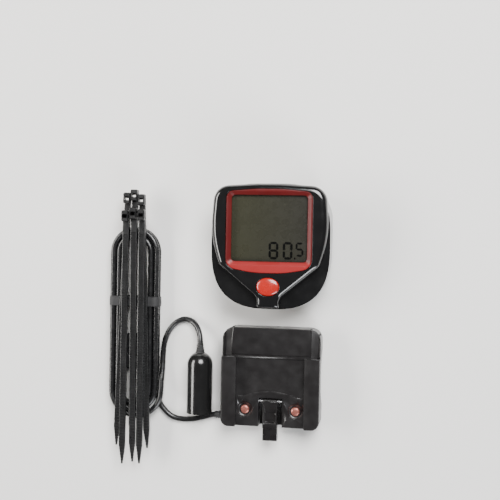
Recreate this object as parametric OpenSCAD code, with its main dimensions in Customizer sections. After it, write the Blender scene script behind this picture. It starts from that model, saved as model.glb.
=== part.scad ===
// Wired cycling computer laid out flat: head unit, handlebar bracket, wheel sensor on its cable,
// cable ties and spoke magnet. The origin is on the handlebar's axis, at the middle of the bracket.
// +Y runs from the bracket to the head, and +Z points away from the bench.

/* [Handlebar bracket] */
// Radius of the handlebar that the bracket clamps
bar_r = 12.7; // [11:0.1:13.5]
// Depth of the bracket's saddle
saddle_depth = 5.8; // [5.6:0.1:6]
// Thickness of the rubber pad in the saddle
pad_t = 0.8; // [0.6:0.1:1]
// Width of the bracket along the handlebar
bracket_w = 38; // [36:1:46]
// Length of the bracket across the handlebar
bracket_l = 38; // [36:1:44]
// Height of the bracket's docking floor above the bench
floor_h = 8.4; // [8.2:0.1:9.4]
// Width of each slotted rail
rail_w = 4.2; // [3.9:0.1:4.8]
// Overhang of each rail's lip
lip_w = 1.6; // [1.2:0.1:2]
// Length of the lead-in plate in front of the rails
lead_in = 10.6; // [8:0.2:13]
// Width of the release tongue
tongue_w = 5.6; // [5:0.1:6.6]
// Reach of the tongue past the bracket's edge
tongue_reach = 5.4; // [4:0.2:7]
// Sideways distance between the contact pins
pin_pitch = 19.6; // [17:0.2:20.4]
// Radius of a contact pin
pin_r = 1.7; // [1.3:0.1:1.9]
// Height of a contact pin above the docking floor
pin_rise = 0.8; // [0.5:0.1:0.9]

/* [Head unit] */
// Width of the head
head_w = 44.8; // [43:0.2:54]
// Length of the head
head_l = 47; // [45:0.5:57]
// Thickness of the rear tray above the rails
tray_h = 4.7; // [4.7:0.1:6]
// Thickness of the front shell
front_h = 4.8; // [4.8:0.1:6]
// Thickness of the case walls
wall = 1.6; // [1.4:0.1:2]
// Width of the display window
window_w = 28.4; // [24:0.2:29]
// Length of the display window
window_l = 24.6; // [20:0.2:25]
// Width of the oval button
button_w = 8.6; // [7:0.1:9]
// Length of the oval button
button_l = 6.8; // [5.6:0.1:7]
// Radius of the button cell
cell_r = 10; // [8:0.1:10]
// Thickness of the button cell
cell_t = 3.2; // [2:0.1:3.2]

/* [Wheel sensor and kit] */
// Radius of the sensor's body
sensor_r = 5; // [4.5:0.1:6]
// Length of the sensor's body
sensor_l = 24; // [20:0.5:28]
// Length of a cable tie
tie_l = 100.4; // [90:0.2:120]
// Width of a cable tie
tie_w = 2.5; // [2:0.1:3]

/* [Hidden] */
$fn = 64;
eps = 0.01;
gap = 0.3;
fit = 0.08;
bench_z = bar_r - saddle_depth;
saddle_r = bar_r + pad_t;
edge_y = bracket_l / 2;
rail_x = bracket_w / 2 - rail_w;
lip_x = rail_x - lip_w;
rail_top = floor_h + 2.5;
lip_under = floor_h + 1.4;
rail_end_y = edge_y - lead_in;
tunnel_h = 1.6;
tunnel_w = 3.1;
tunnel_low = bar_r + pad_t - bench_z + 1;
slot_w = 1.8;
pin_y = 6.5 - edge_y;
latch_y = pin_y + 3.3;
latch_z = floor_h - 1;
latch_hub_r = 0.9;
latch_pin_r = 0.45;
tongue_t = 1.6;
catch_y = -edge_y - 0.3;
pocket_floor = 4.7;
spring_base = 3.5;
spring_wire = 0.35;
spring_turns = 4;
pin_flange_h = 6.7;
leg_y = -1.4;
gland_y = 2.4 - edge_y;
gland_h = 1.9;

dock_travel = 48;
shell_h = rail_top + 0.2;
tray_top = shell_h + tray_h;
front_top = tray_top + front_h;
skin_under = front_top - 1.4;
dock_y = 2.5;
head_y = dock_y + dock_travel;
boss_h = floor_h + 0.15;
boss_w = 2 * (rail_x - gap);
neck_w = 2 * (lip_x - gap);
boss_end = edge_y + gap - dock_y;
skirt_x = bracket_w / 2 + 0.4;
stud_y = pin_y - dock_y;
window_y = 6.7;
glass_h = skin_under - 2.6;
glass_t = 1.6;
frame_w = window_w + 4;
frame_top_y = window_y + window_l / 2 + 2.4;
frame_low_y = window_y - window_l / 2 - 4.3;
button_y = -14.9;
stem_half = 4.3;
cover_r = cell_r + 0.8;
cover_h = boss_h + 0.15;
cover_t = 1.2;
cell_y = 2.5;
cell_h = cover_h + cover_t + 0.05;
board_h = glass_h - 2.4;
board_t = 0.8;
screw_x = head_w / 2 - 5;
screw_rows = [-3, 14.5];
screw_r = 0.8;
strap_y = -9.4;

cable_r = 1.1;
kit_x = -bracket_w / 2;
sensor_x = kit_x - 9.6;
sensor_y = gland_y + 1;
hank_x = kit_x - 37;
hank_y = gland_y + 36;
hank_w = 20;
hank_l = 75;
hank_core = 4.8;
hank_h = 0.5;
hank_t = 4.8;
tie_x = hank_x + 0.4;
tie_y = hank_y + 0.8;
tie_h = hank_h + hank_t + 0.6;
// Cable from the bracket's strain relief to the hank, from the cable's exit and the bench
bracket_route = [
    [-4, 0, 1.9], [-6.5, -0.7, 1.5], [-10, -1.8, 1.2], [-14, -2.6, 1.2], [-18, -2.7, 1.2],
    [-21.6, -1.8, 1.2], [-24.6, 0.6, 1.3], [-26.8, 4, 1.5], [-28, 7.6, 1.65]];
// Cable from the hank over to the sensor's strain relief, from the cable's exit and the bench
sensor_route = [
    [-29.4, 3.2, 4.15], [-27.4, 5.6, 4.15], [-26.1, 8.7, 3.9], [-25.7, 12.6, 3.2], [-25.6, 16.6, 2.2],
    [-25.6, 20.6, 1.5], [-25.5, 24.6, 1.2], [-24.9, 28.6, 1.2], [-23.2, 32.6, 1.2], [-20.4, 35.8, 1.2],
    [-17, 37.2, 1.3], [-13.6, 36.4, 2], [-11.2, 34, 3.2], [-10, 31.2, 4.4], [-9.6, 28.2, 5]];

// ---- shared geometry ----

// Lifts its children from the handlebar's axis to the bench
module on_bench() {
    translate([0, 0, bench_z]) children();
}

// Places its children at the head's middle, where the head lies beside the bracket
module at_head() {
    translate([0, head_y, bench_z]) children();
}

// Places its children on both sides of the YZ plane
module both_sides() {
    children();
    mirror([1, 0, 0]) children();
}

function power(value, exponent) = sign(value) * pow(abs(value), exponent);

// A closed outline that is rounder at its lower end than at its upper end
function case_outline(w, l, steps = 72) = [
    for (i = [0:steps - 1])
        let (a = 360 * i / steps, n = sin(a) > 0 ? 3.6 : 2.7)
        [w / 2 * power(cos(a), 2 / n), l / 2 * power(sin(a), 2 / n)]];

function unit(v) = v / norm(v);

// The arc that rounds corner b between points a and c with radius r
function corner(a, b, c, r, steps = 7) =
    let (u = unit(a - b), v = unit(c - b), half = acos(u * v) / 2, m = unit(u + v))
    let (centre = b + m * (r / sin(half)), p = b + u * (r / tan(half)) - centre)
    let (turn = sign(u[0] * v[1] - u[1] * v[0]) * (180 - 2 * half))
    [for (i = [0:steps]) let (t = -turn * i / steps)
        centre + [p[0] * cos(t) - p[1] * sin(t), p[0] * sin(t) + p[1] * cos(t)]];

// An outline whose corners are each [x, y, radius]
function rounded(pts) = [
    for (i = [0:len(pts) - 1])
        let (n = len(pts), a = pts[(i + n - 1) % n], b = pts[i], c = pts[(i + 1) % n])
        each corner([a[0], a[1]], [b[0], b[1]], [c[0], c[1]], b[2])];

// Right half of an outline, from bottom to top, mirrored into a whole one
function whole(right) = concat(
    right, [for (i = [len(right) - 1:-1:0]) [-right[i][0], right[i][1], right[i][2]]]);

// Shield outline of the front shell, with its lower arms running down into a stem below the button
function shield(inset = 0) = rounded(whole([
    [stem_half - inset, 0.4 - head_l / 2 + inset, 1.2 - 0.3 * inset],
    [stem_half - inset, button_y - 4.1 + 0.48 * inset, 4],
    [head_w / 2 - 3.6 - 0.87 * inset, -7.2 + 0.58 * inset, 4],
    [head_w / 2 - 0.2 - inset, 4, 40],
    [head_w / 2 - 1.5 - inset, head_l / 2 - 1.2 - inset, 6 - inset],
    [4, head_l / 2 - 0.2 - inset, 60]]));

// D-shaped outline of the red frame, with its rounded end towards the button
function frame_outline(grow = 0) = rounded(whole([
    [5.5, frame_low_y - grow, 40],
    [frame_w / 2 + grow, frame_low_y + 1.9 - grow, 4.2],
    [frame_w / 2 + grow, frame_top_y - 1 + grow, 3],
    [5, frame_top_y + grow, 50]]));

module slab(w, l, r) {
    polygon(rounded([[w / 2, -l / 2, r], [w / 2, l / 2, r], [-w / 2, l / 2, r], [-w / 2, -l / 2, r]]));
}

// A solid through equally long rings of points, closed at both ends
module loft(rings) {
    n = len(rings[0]);
    last = len(rings) - 1;
    polyhedron(
        points = [for (ring = rings) each ring],
        faces = concat(
            [[for (i = [0:n - 1]) i]],
            [for (k = [0:last - 1], i = [0:n - 1])
                let (j = (i + 1) % n) [k * n + i, (k + 1) * n + i, (k + 1) * n + j, k * n + j]],
            [[for (i = [n - 1:-1:0]) last * n + i]]));
}

function cross_unit(a, b) = unit(cross(a, b));

// A round tube through a list of points, with its ends square to the path
module tube(path, r, sides = 8) {
    last = len(path) - 1;
    loft([for (k = [0:last])
        let (t = unit(path[min(k + 1, last)] - path[max(k - 1, 0)]))
        let (u = cross_unit(t, abs(t[2]) > 0.9 ? [1, 0, 0] : [0, 0, 1]), v = cross(t, u))
        [for (i = [0:sides - 1]) let (a = 360 * i / sides) path[k] + r * (cos(a) * u + sin(a) * v)]]);
}

// Compression spring standing on the XY plane
module coil_spring(mean_r, wire_r, height, turns) {
    steps = turns * 12;
    tube([for (i = [0:steps])
        [mean_r * cos(30 * i), mean_r * sin(30 * i), wire_r + (height - 2 * wire_r) * i / steps]], wire_r);
}

// Oval ring of points, used for the button
function oval(w, l, z, steps = 48) = [
    for (i = [0:steps - 1]) let (a = 360 * i / steps) [w / 2 * cos(a), l / 2 * sin(a), z]];

// ---- head unit ----

module front_shell() {
    tiers = [[0, front_h - 1], [0.3, front_h - 0.6], [0.7, front_h - 0.25], [1.3, front_h]];
    color([0.05, 0.05, 0.055]) at_head() difference() {
        translate([0, 0, tray_top]) for (tier = tiers) linear_extrude(tier[1]) polygon(shield(tier[0]));
        difference() {
            translate([0, 0, tray_top - 1]) linear_extrude(skin_under - tray_top + 1) polygon(shield(wall));
            for (x = [-screw_x, screw_x], y = screw_rows) translate([x, y, 0]) cylinder(r = 1.9, h = front_top);
        }
        for (x = [-screw_x, screw_x], y = screw_rows) translate([x, y, 0]) cylinder(r = screw_r, h = tray_top + 2.6);
        translate([0, 0, skin_under - 0.85]) linear_extrude(5) polygon(frame_outline(0.05));
        translate([0, button_y, skin_under - 1]) linear_extrude(5)
            polygon([for (p = oval(button_w + 0.3, button_l + 0.3, 0)) [p[0], p[1]]]);
    }
}

module bezel_frame() {
    color([0.5, 0.04, 0.05]) at_head() difference() {
        translate([0, 0, skin_under - 0.8]) linear_extrude(1.95) polygon(frame_outline());
        translate([0, window_y, skin_under - 1]) linear_extrude(1.05) slab(window_w + 2.1, window_l + 2.1, 1.6);
        translate([0, window_y, 0]) loft([
            for (k = [[0, -1], [0, 0.3], [2.6, 1.4]])
                [for (p = rounded([
                    for (s = [[1, -1], [1, 1], [-1, 1], [-1, -1]])
                        [s[0] * (window_w + k[0]) / 2, s[1] * (window_l + k[0]) / 2, 1.4]]))
                    [p[0], p[1], skin_under + k[1]]]]);
    }
}

module lens() {
    color([0.8, 0.85, 0.9, 0.4]) at_head() translate([0, window_y, skin_under - 0.8])
        linear_extrude(0.8) slab(window_w + 2, window_l + 2, 1.5);
}

module lcd_glass() {
    color([0.5, 0.54, 0.45]) at_head() translate([0, window_y, glass_h])
        linear_extrude(glass_t) slab(window_w + 1.6, window_l + 1.6, 0.6);
}

// One segment of a digit: a bar with pointed ends
module segment(length, width) {
    polygon([
        [-length / 2, 0], [-length / 2 + width / 2, width / 2], [length / 2 - width / 2, width / 2],
        [length / 2, 0], [length / 2 - width / 2, -width / 2], [-length / 2 + width / 2, -width / 2]]);
}

// A seven-segment digit of height h, with the segments that are lit
module digit(h, lit) {
    w = h * 0.49;
    line = h * 0.15;
    rows = [h / 2, 0, -h / 2];
    sides = [[-w / 2, h / 4], [w / 2, h / 4], [-w / 2, -h / 4], [w / 2, -h / 4]];
    for (i = [0:2]) if (lit[i]) translate([0, rows[i]]) segment(w - 0.2, line);
    for (i = [0:3]) if (lit[i + 3]) translate(sides[i]) rotate(90) segment(h / 2 - 0.2, line);
}

module lcd_digits() {
    color([0.06, 0.07, 0.05]) at_head() translate([0, 0, glass_h + glass_t]) linear_extrude(0.06) {
        translate([1.6, -1.45]) digit(5.6, [1, 1, 1, 1, 1, 1, 1]);
        translate([6.9, -1.45]) digit(5.6, [1, 0, 1, 1, 1, 1, 1]);
        translate([11.3, -0.9]) digit(4.5, [1, 1, 1, 1, 0, 0, 1]);
        translate([9.6, -4.2]) circle(0.35);
    }
}

module lcd_reflector() {
    color([0.75, 0.77, 0.72]) at_head() translate([0, window_y, glass_h - 0.15])
        linear_extrude(0.15) slab(window_w + 1.6, window_l - 2, 0.4);
}

module zebra_strips() {
    color([0.25, 0.25, 0.28]) at_head() for (side = [-1, 1])
        translate([-window_w / 2 + 1, window_y + side * (window_l / 2) - 0.6, board_h + board_t])
            cube([window_w - 2, 1.2, glass_h - board_h - board_t]);
}

module circuit_board() {
    color([0.05, 0.3, 0.16]) at_head() difference() {
        translate([0, 0, board_h]) linear_extrude(board_t) intersection() {
            union() {
                translate([0, 4.9]) slab(window_w + 1.4, window_l + 6.6, 1);
                translate([0, -13.2]) slab(2 * stem_half - 1.4, 9.4, 1);
            }
            polygon(shield(wall + 0.6));
        }
        for (side = [-1, 1]) translate([side * pin_pitch / 2, strap_y, board_h - 1]) cylinder(r = 0.55, h = 3);
    }
}

module board_components() {
    top = board_h + board_t;
    color([0.12, 0.12, 0.13]) at_head() {
        translate([-3.5, 3, top]) cube([7, 7, 0.9]);
        translate([-12, 5, top]) cube([5, 4, 0.9]);
        translate([6.4, 13.4, top]) cube([3.2, 1.6, 0.8]);
        for (i = [0:4]) translate([-11 + 2.6 * i, 14, top]) cube([1.6, 0.8, 0.7]);
        translate([6, 8.8, top + 0.7]) rotate([0, 90, 0]) cylinder(r = 0.7, h = 6);
    }
}

module snap_dome() {
    top = board_h + board_t;
    color([0.8, 0.8, 0.78]) at_head() translate([0, button_y, top]) difference() {
        intersection() {
            translate([0, 0, 0.5 - 9]) sphere(r = 9);
            cylinder(r = 2.6, h = 2);
        }
        translate([0, 0, 0.35 - 9]) sphere(r = 9);
    }
}

module key_membrane() {
    top = board_h + board_t;
    color([0.2, 0.2, 0.22]) at_head() translate([0, button_y, top]) {
        translate([0, 0, 0.6]) linear_extrude(0.5) slab(7, 6.2, 3);
        difference() {
            cylinder(r = 3.4, h = 0.61);
            translate([0, 0, -1]) cylinder(r = 2.8, h = 3);
        }
    }
}

module mode_button() {
    crown = [[0, 0], [0, 0.5], [0.5, 0.9], [1.6, 1.25], [3.4, 1.45], [5, 1.5]];
    base = skin_under + 0.4;
    color([0.8, 0.05, 0.06]) at_head() translate([0, button_y, 0]) {
        loft([for (k = crown) oval(button_w - k[0], button_l - k[0], base + k[1])]);
        translate([0, 0, base - 2]) linear_extrude(2 + eps) slab(button_w - 1.6, button_l - 1.4, 2.4);
        translate([0, 0, base - 1.4]) linear_extrude(0.8) slab(3.4, button_l + 1.6, 0.6);
        translate([0, 0, board_h + board_t + 1.1 + 0.85]) cylinder(r = 1.5, h = 2);
    }
}

// Tray with its nose and its two skirts, which arch over the handlebar
module skirts() {
    arch_h = saddle_depth + 0.6;
    intersection() {
        linear_extrude(tray_top) polygon(case_outline(head_w, head_l));
        rotate([90, 0, 90]) translate([0, 0, -head_w]) linear_extrude(2 * head_w) polygon([
            [-head_l / 2, shell_h - 0.3], [-dock_y, arch_h], [11.5 - dock_y, arch_h - 1.4],
            [14.5 - dock_y, 0], [head_l / 2, 0], [head_l / 2, tray_top], [-head_l / 2, tray_top]]);
    }
}

module rear_shell() {
    color([0.09, 0.09, 0.1]) at_head() difference() {
        union() {
            difference() {
                skirts();
                translate([-skirt_x, -head_l, -1]) cube([2 * skirt_x, head_l + boss_end, shell_h + 1]);
            }
            intersection() {
                linear_extrude(tray_top) polygon(case_outline(head_w - 0.6, head_l - 0.4));
                union() {
                    translate([-boss_w / 2, -head_l / 2, boss_h])
                        cube([boss_w, head_l / 2 + boss_end, lip_under - boss_h - 0.15]);
                    translate([-neck_w / 2, -head_l / 2, boss_h])
                        cube([neck_w, head_l / 2 + boss_end, shell_h - boss_h + 0.5]);
                }
            }
        }
        tray_hollow();
        battery_bore();
        docking_grooves();
        for (x = [-screw_x, screw_x], y = screw_rows) translate([x, y, 0]) {
            cylinder(r = 1.75, h = shell_h + 1.15);
            cylinder(r = screw_r + 0.1, h = tray_top + 1);
        }
        translate([0, 0, tray_top - 0.6]) linear_extrude(2) difference() {
            polygon(shield(0.5));
            polygon(shield(1.1));
        }
        nose_hollow();
    }
}

// Room for the board and battery inside the tray, leaving posts round the screws
module tray_hollow() {
    floor_top = shell_h + 1.2;
    difference() {
        translate([0, 0, floor_top]) linear_extrude(tray_top - floor_top + 1) polygon(shield(wall + 0.2));
        for (x = [-screw_x, screw_x], y = screw_rows) translate([x, y, 0]) cylinder(r = 2, h = tray_top + 2);
    }
}

// Stepped bore for the button cell, its seal and the bayonet cover
module battery_bore() {
    translate([0, cell_y, 0]) {
        cylinder(r = cell_r + 0.25, h = tray_top);
        cylinder(r = cover_r + fit, h = cover_h + cover_t + 0.6);
        difference() {
            translate([0, 0, cover_h + 0.5]) cylinder(r = cover_r + 0.9, h = 0.7);
            translate([0, 0, cover_h]) cylinder(r = cover_r - 1, h = 2);
        }
        for (a = [0, 180]) rotate(a) translate([cover_r - 1, -2.4, 0]) cube([1.9, 4.8, cover_h + 1.2]);
    }
}

// Runways for the contact pins, the catch pocket, and the holes for the contact studs
module docking_grooves() {
    run_y = -head_l / 2 - 1;
    for (side = [-1, 1]) translate([side * pin_pitch / 2, 0, 0]) {
        translate([-pin_r - 0.4, run_y, 0]) cube([2 * pin_r + 0.8, stud_y + 2.4 - run_y, floor_h + pin_rise + 0.25]);
        translate([0, stud_y, 0]) cylinder(r = pin_r, h = floor_h + pin_rise + 0.75);
        translate([0, stud_y, 0]) cylinder(r = 0.65, h = shell_h + 1.4);
        translate([-0.7, stud_y - 0.7, shell_h + 1.2]) cube([1.4, strap_y - stud_y + 1.4, 1]);
    }
    translate([-tongue_w / 2 - 0.4, catch_y - 0.4 - dock_y, 0])
        cube([tongue_w + 0.8, 6.4, floor_h + 1.2]);
}

module nose_hollow() {
    from_y = boss_end + 1.4;
    translate([-head_w / 2 + 10, from_y, -1]) cube([head_w - 20, head_l / 2 - from_y - 1.8, 9]);
}

module case_gasket() {
    color([0.15, 0.15, 0.16]) at_head() translate([0, 0, tray_top - 0.6]) linear_extrude(0.6) difference() {
        polygon(shield(0.5));
        polygon(shield(1.1));
    }
}

module case_screws() {
    color([0.6, 0.6, 0.62]) at_head() for (x = [-screw_x, screw_x], y = screw_rows) translate([x, y, 0])
        difference() {
            union() {
                translate([0, 0, shell_h + 0.1]) cylinder(r = 1.6, h = 1.05);
                translate([0, 0, shell_h + 1]) cylinder(r = screw_r, h = tray_top + 1.4 - shell_h);
            }
            for (a = [0, 90]) rotate(a) translate([-1, -0.2, shell_h - 0.5]) cube([2, 0.4, 1.1]);
        }
}

module battery_cell() {
    color([0.75, 0.76, 0.77]) at_head() translate([0, cell_y, cell_h]) {
        cylinder(r = cell_r - 1.2, h = cell_t);
        translate([0, 0, 0.15]) cylinder(r = cell_r, h = cell_t - 0.3);
    }
}

module battery_seal() {
    color([0.1, 0.1, 0.1]) at_head() translate([0, cell_y, cover_h + cover_t + 0.31])
        rotate_extrude() translate([cell_r + 0.57, 0]) circle(r = 0.27, $fn = 24);
}

module battery_contacts() {
    from_h = cell_h + cell_t;
    color([0.85, 0.7, 0.35]) at_head() for (x = [-6, 0]) translate([x, cell_y, 0]) {
        translate([-1.2, -2.5, from_h]) cube([2.4, 5, 0.2]);
        translate([-1.2, 2.5 - 0.2, from_h]) cube([2.4, 0.2, board_h - from_h]);
    }
}

module battery_cover() {
    color([0.12, 0.12, 0.13]) at_head() translate([0, cell_y, cover_h]) difference() {
        union() {
            cylinder(r = cover_r, h = cover_t);
            for (a = [-45, 135]) rotate(a) intersection() {
                translate([0, 0, 0.6]) cylinder(r = cover_r + 0.8, h = 0.5);
                translate([0, -2, 0]) cube([20, 4, 2]);
            }
        }
        translate([-6.5, -0.8, -1]) cube([13, 1.6, 1.7]);
        for (a = [0:45:315]) rotate(a + 22.5) translate([cover_r - 2, 0, -1]) cylinder(r = 0.6, h = 1.4);
    }
}

module head_contacts() {
    face_h = floor_h + pin_rise + 0.05;
    color([0.85, 0.6, 0.4]) at_head() for (side = [-1, 1]) translate([side * pin_pitch / 2, stud_y, 0]) {
        translate([0, 0, face_h]) cylinder(r = pin_r - 0.02, h = 0.7);
        translate([0, 0, face_h]) cylinder(r = 0.6, h = shell_h + 1.6 - face_h);
        translate([-0.6, -0.6, shell_h + 1.3]) cube([1.2, strap_y - stud_y + 1.1, 0.3]);
        translate([0, strap_y - stud_y, shell_h + 1.3]) cylinder(r = 0.5, h = board_h + board_t + 0.3 - shell_h - 1.3);
    }
}

// ---- handlebar bracket ----

module bracket_base() {
    color([0.08, 0.08, 0.09]) on_bench() difference() {
        union() {
            linear_extrude(floor_h) polygon(rounded([
                [bracket_w / 2, -edge_y, 3], [bracket_w / 2, edge_y, 4.4],
                [-bracket_w / 2, edge_y, 4.4], [-bracket_w / 2, -edge_y, 3]]));
            both_sides() intersection() {
                translate([0, 0, floor_h - eps]) linear_extrude(rail_top - floor_h + eps) polygon(rounded([
                    [rail_x - lip_w, -edge_y, 0.4], [bracket_w / 2, -edge_y, 3],
                    [bracket_w / 2, rail_end_y, 1], [rail_x - lip_w, rail_end_y, 0.4]]));
                translate([0, edge_y, 0]) rotate([90, 0, 0]) linear_extrude(bracket_l) polygon([
                    [rail_x, 0], [bracket_w / 2, 0], [bracket_w / 2, rail_top - 0.5],
                    [bracket_w / 2 - 0.5, rail_top], [lip_x, rail_top], [lip_x, lip_under], [rail_x, lip_under]]);
            }
        }
        translate([-bracket_w, 0, -bench_z]) rotate([0, 90, 0]) cylinder(r = saddle_r, h = 2 * bracket_w);
        latch_pocket();
        for (side = [-1, 1]) translate([side * pin_pitch / 2, pin_y, 0]) pin_bore();
        both_sides() translate([rail_x + 0.6, -bracket_l, tunnel_low]) cube([tunnel_w, 2 * bracket_l, tunnel_h]);
        wire_channel();
        translate([-bracket_w, rail_end_y - 0.4, floor_h - 0.4]) cube([2 * bracket_w, 0.8, 3]);
        floor_arch();
    }
}

// Shallow arch-shaped step in the docking floor
module floor_arch() {
    translate([0, 0, floor_h - 0.25]) linear_extrude(1) difference() {
        translate([-lip_x, latch_y + 1.6]) square([2 * lip_x, rail_end_y - latch_y - 2.8]);
        translate([0, latch_y - 22]) circle(r = 26);
    }
}

// Slots beside the tongue and the room that it bends into
module latch_pocket() {
    slot_x = tongue_w / 2 + slot_w;
    translate([-slot_x, -bracket_l, latch_z - latch_hub_r - gap])
        cube([2 * slot_x, bracket_l + latch_y + latch_hub_r + 0.4, 10]);
    translate([-slot_x, -bracket_l, pocket_floor - 1.2]) cube([2 * slot_x, bracket_l + latch_y - 2.6, 10]);
    translate([-slot_x, -bracket_l, pocket_floor]) cube([2 * slot_x, bracket_l + latch_y + 0.9, 10]);
    translate([-slot_x - 1.6, latch_y, latch_z]) rotate([0, 90, 0])
        cylinder(r = latch_pin_r, h = 2 * slot_x + 3.2);
}

// Stepped bore that holds one contact pin, its spring and its terminal
module pin_bore() {
    translate([0, leg_y, 0]) cylinder(r = 0.6, h = spring_base);
    translate([0, 0, spring_base - 0.3]) cylinder(r = pin_r + 0.75, h = pin_flange_h + 0.7 - spring_base + 0.3);
    cylinder(r = pin_r + fit, h = floor_h + 1);
    translate([0, 0, floor_h - 0.3]) cylinder(r = 3, h = 1);
}

// Channel for the wires in the bracket's front foot, open towards the bench and to the gland
module wire_channel() {
    translate([-bracket_w / 2 + 2.6, gland_y - 0.8, -1]) cube([bracket_w - 7.6, 4.9, 3.2]);
    translate([-bracket_w / 2 + 1.8, gland_y - 0.9, -1]) cube([bracket_w - 6, 5.1, 1.9]);
    translate([-bracket_w, gland_y, gland_h]) rotate([0, 90, 0]) cylinder(r = 1.5, h = bracket_w / 2 + 4);
}

module terminal_cover() {
    color([0.14, 0.14, 0.15]) on_bench() translate([-bracket_w / 2 + 3.5, gland_y - 0.8, 0.1])
        cube([bracket_w - 7.8, 4.9, 0.75]);
}

module release_latch() {
    reach = edge_y + tongue_reach + latch_y;
    color([0.1, 0.1, 0.11]) on_bench() difference() {
        union() {
            translate([0, latch_y, latch_z]) rotate([90, 0, -90]) translate([0, 0, -tongue_w / 2])
                linear_extrude(tongue_w) polygon([
                    [0, -tongue_t / 2], [reach - 1, -tongue_t / 2], [reach, -0.2], [reach, 0.8],
                    [reach - 0.4, 1], [latch_y - catch_y + 0.3, 1], [latch_y - catch_y, 1.9],
                    [latch_y - catch_y - 1.3, 1.9], [latch_y - catch_y - 5.3, 1], [0, 1]]);
            translate([-tongue_w / 2, latch_y, latch_z]) rotate([0, 90, 0]) cylinder(r = latch_hub_r, h = tongue_w);
            translate([-tongue_w / 2, -edge_y - tongue_reach, latch_z - 1.6]) cube([tongue_w, 2.6, 1.4]);
        }
        translate([-tongue_w, latch_y, latch_z]) rotate([0, 90, 0])
            cylinder(r = latch_pin_r + 0.05, h = 2 * tongue_w);
    }
}

module latch_pin() {
    length = tongue_w + 2 * slot_w + 3;
    color([0.7, 0.7, 0.72]) on_bench() translate([-length / 2, latch_y, latch_z]) rotate([0, 90, 0])
        cylinder(r = latch_pin_r, h = length);
}

module contact_pin(side) {
    color([0.85, 0.55, 0.42]) on_bench() translate([side * pin_pitch / 2, pin_y, 0]) {
        translate([0, 0, floor_h + pin_rise - 0.3]) cylinder(r1 = pin_r, r2 = pin_r - 0.3, h = 0.3);
        translate([0, 0, pin_flange_h]) cylinder(r = pin_r, h = floor_h + pin_rise - 0.3 - pin_flange_h);
        translate([0, 0, pin_flange_h]) cylinder(r = pin_r + 0.65, h = 0.65);
        translate([0, 0, pin_flange_h - 1.6]) cylinder(r = 0.8, h = 1.7);
    }
}

module contact_pin_left() {
    contact_pin(-1);
}

module contact_pin_right() {
    contact_pin(1);
}

module contact_spring(side) {
    color([0.8, 0.8, 0.82]) on_bench() translate([side * pin_pitch / 2, pin_y, spring_base])
        coil_spring(pin_r + 0.15, spring_wire, pin_flange_h - spring_base, spring_turns);
}

module contact_spring_left() {
    contact_spring(-1);
}

module contact_spring_right() {
    contact_spring(1);
}

module contact_terminals() {
    color([0.85, 0.7, 0.4]) on_bench() for (side = [-1, 1]) translate([side * pin_pitch / 2, pin_y, 0]) {
        translate([0, 0, spring_base - 0.3]) cylinder(r = pin_r + 0.6, h = 0.3);
        translate([0, leg_y, 1.3]) cylinder(r = 0.5, h = spring_base - 1.4);
    }
}

module terminal_wires() {
    start_x = -bracket_w / 2 + 4.2;
    color([0.7, 0.1, 0.1]) on_bench() for (side = [-1, 1]) tube([
        [start_x, gland_y - 0.5 * side, 1.5], [start_x + 1, gland_y - 0.5 * side + 0.2, 1.5],
        [side * pin_pitch / 2 - 2.4, gland_y - 0.5 * side + 0.6, 1.5],
        [side * pin_pitch / 2 - 0.8, pin_y + leg_y - 0.3, 1.5]], 0.35);
}

module saddle_pad() {
    color([0.12, 0.12, 0.12]) intersection() {
        translate([-bracket_w / 2, 0, 0]) rotate([0, 90, 0]) difference() {
            cylinder(r = saddle_r, h = bracket_w);
            translate([0, 0, -1]) cylinder(r = bar_r, h = bracket_w + 2);
        }
        translate([-bracket_w, -bracket_l, bench_z]) cube([2 * bracket_w, 2 * bracket_l, bracket_l]);
    }
}

// Tapered boot along -X, with a neck that passes through a wall
module boot(neck_r, neck_l, root_r, tip_r, length) {
    rotate([0, -90, 0]) difference() {
        union() {
            translate([0, 0, -neck_l]) cylinder(r = neck_r, h = neck_l + 0.1);
            cylinder(r1 = root_r, r2 = tip_r, h = length);
        }
        for (i = [1:3]) translate([0, 0, length * (0.1 + 0.22 * i)]) difference() {
            cylinder(r = 4, h = length * 0.08);
            cylinder(r = tip_r - 0.1, h = length);
        }
    }
}

module bracket_strain_relief() {
    color([0.1, 0.1, 0.1]) on_bench() translate([-bracket_w / 2, gland_y, gland_h])
        boot(1.45, 3.2, gland_h - 0.05, cable_r + 0.25, 4);
}

// ---- cable ----

module bracket_lead() {
    color([0.06, 0.06, 0.06]) on_bench() translate([kit_x, gland_y, 0]) tube(bracket_route, cable_r);
}

module sensor_lead() {
    color([0.06, 0.06, 0.06]) on_bench() translate([kit_x, gland_y, 0]) tube(sensor_route, cable_r);
}

module stadium(w, l) {
    translate([0, l / 2 - w / 2]) circle(d = w);
    translate([0, w / 2 - l / 2]) circle(d = w);
    translate([-w / 2, w / 2 - l / 2]) square([w, l - w]);
}

module cable_hank() {
    color([0.06, 0.06, 0.06]) on_bench() translate([hank_x, hank_y, hank_h]) linear_extrude(hank_t)
        difference() {
            stadium(hank_w, hank_l);
            stadium(hank_w - 2 * hank_core, hank_l - 2 * hank_core);
        }
}

module hank_tie() {
    color([0.1, 0.1, 0.1]) on_bench() translate([hank_x, hank_y + 6, 0]) difference() {
        translate([-hank_w / 2 - 0.5, 0, 0]) cube([hank_w + 1, 4, hank_t + 1]);
        translate([-hank_w / 2, -1, hank_h]) cube([hank_w, 6, hank_t]);
    }
}

// ---- wheel sensor ----

module at_sensor() {
    translate([sensor_x, sensor_y, bench_z]) children();
}

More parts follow.
